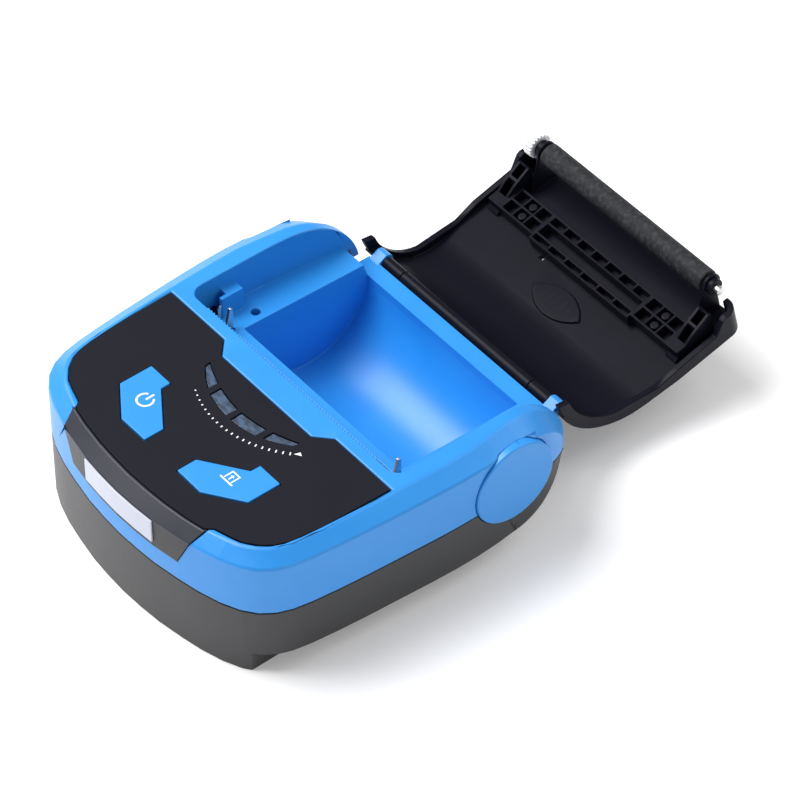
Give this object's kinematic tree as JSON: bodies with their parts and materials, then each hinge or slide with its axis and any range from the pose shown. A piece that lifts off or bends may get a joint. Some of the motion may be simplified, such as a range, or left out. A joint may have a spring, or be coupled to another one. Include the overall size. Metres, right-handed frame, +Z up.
{
  "type": "portable thermal printer",
  "caption": "Portable receipt printer with a hinged paper cover, rubber platen roller, paper cradle, tear edge and press buttons, shown with the cover open.",
  "frame": {"origin": "middle of the body on the surface that the sole rests on", "axes": "+Z up, front with the buttons towards -Y, cover opens towards +Y, +X to the right seen from the front"},
  "size_m": [0.1316, 0.2176, 0.0515],
  "materials": {
    "blue_plastic": "satin moulded",
    "black_plastic": "satin moulded",
    "panel_black": "fine matt",
    "charcoal_plastic": "fine matt",
    "grey_plastic": "satin",
    "white_nylon": "satin",
    "plate_white": "smooth",
    "dark_rubber": "ground",
    "bright_steel": "brushed",
    "cast_aluminium": "milled",
    "smoked_window": "smoked",
    "board_green": "solder mask",
    "cell_wrap": "shrink wrap",
    "ceramic_strip": "glazed"
  },
  "bodies": {
    "body": {"upper_shell": "blue_plastic", "lower_shell": "charcoal_plastic", "control_panel": "panel_black", "front_trim": "grey_plastic", "badge_plate": "plate_white", "left_hub_cap": "blue_plastic", "right_hub_cap": "blue_plastic", "outer_left_status_window": "smoked_window", "inner_left_status_window": "smoked_window", "inner_right_status_window": "smoked_window", "outer_right_status_window": "smoked_window", "circuit_board": "board_green", "power_switch": "black_plastic", "feed_switch": "black_plastic", "battery_pack": "cell_wrap", "battery_cover": "charcoal_plastic", "print_head": "ceramic_strip", "heat_spreader": "cast_aluminium", "mechanism_chassis": "bright_steel", "drive_motor": "bright_steel", "hinge_pin": "bright_steel", "left_hinge_sleeve": "black_plastic", "right_hinge_sleeve": "black_plastic", "front_left_foot": "dark_rubber", "front_right_foot": "dark_rubber", "rear_left_foot": "dark_rubber", "rear_right_foot": "dark_rubber"},
    "lid": {"lid_shell": "black_plastic", "lid_frame": "black_plastic", "left_platen_bushing": "black_plastic", "right_platen_bushing": "black_plastic"},
    "platen": {"platen_roller": "dark_rubber", "platen_shaft": "bright_steel", "platen_gear": "white_nylon"},
    "power_button": {"power_button": "blue_plastic"},
    "feed_button": {"feed_button": "blue_plastic"},
    "motor_pinion": {"motor_pinion": "bright_steel"},
    "idler_gear": {"idler_gear": "white_nylon"}
  },
  "joints": [
    {"name": "cover_hinge", "type": "hinge", "parent": "body", "child": "lid", "pos_m": [0, 0.0715, 0.0282], "axis": [1, 0, 0], "range_deg": [0, 166]},
    {"name": "platen_spin", "type": "hinge", "parent": "lid", "child": "platen", "pos_m": [0, 0.14058, 0.03883], "axis": [1, 0, 0], "continuous": true},
    {"name": "power_button_press", "type": "slide", "parent": "body", "child": "power_button", "axis": [0, 0, -1], "range_m": [0, 0.001], "stiffness_N_per_m": 400, "springref_m": -0.0012},
    {"name": "feed_button_press", "type": "slide", "parent": "body", "child": "feed_button", "axis": [0, 0, -1], "range_m": [0, 0.001], "stiffness_N_per_m": 400, "springref_m": -0.0012},
    {"name": "motor_pinion_spin", "type": "hinge", "parent": "body", "child": "motor_pinion", "pos_m": [0, -0.0184, 0.0292], "axis": [1, 0, 0], "continuous": true},
    {"name": "idler_gear_spin", "type": "hinge", "parent": "body", "child": "idler_gear", "pos_m": [0, -0.0086, 0.0292], "axis": [1, 0, 0], "continuous": true}
  ],
  "couplings": [
    {"joint": "motor_pinion_spin", "follows": "idler_gear_spin", "ratio": -2}
  ]
}
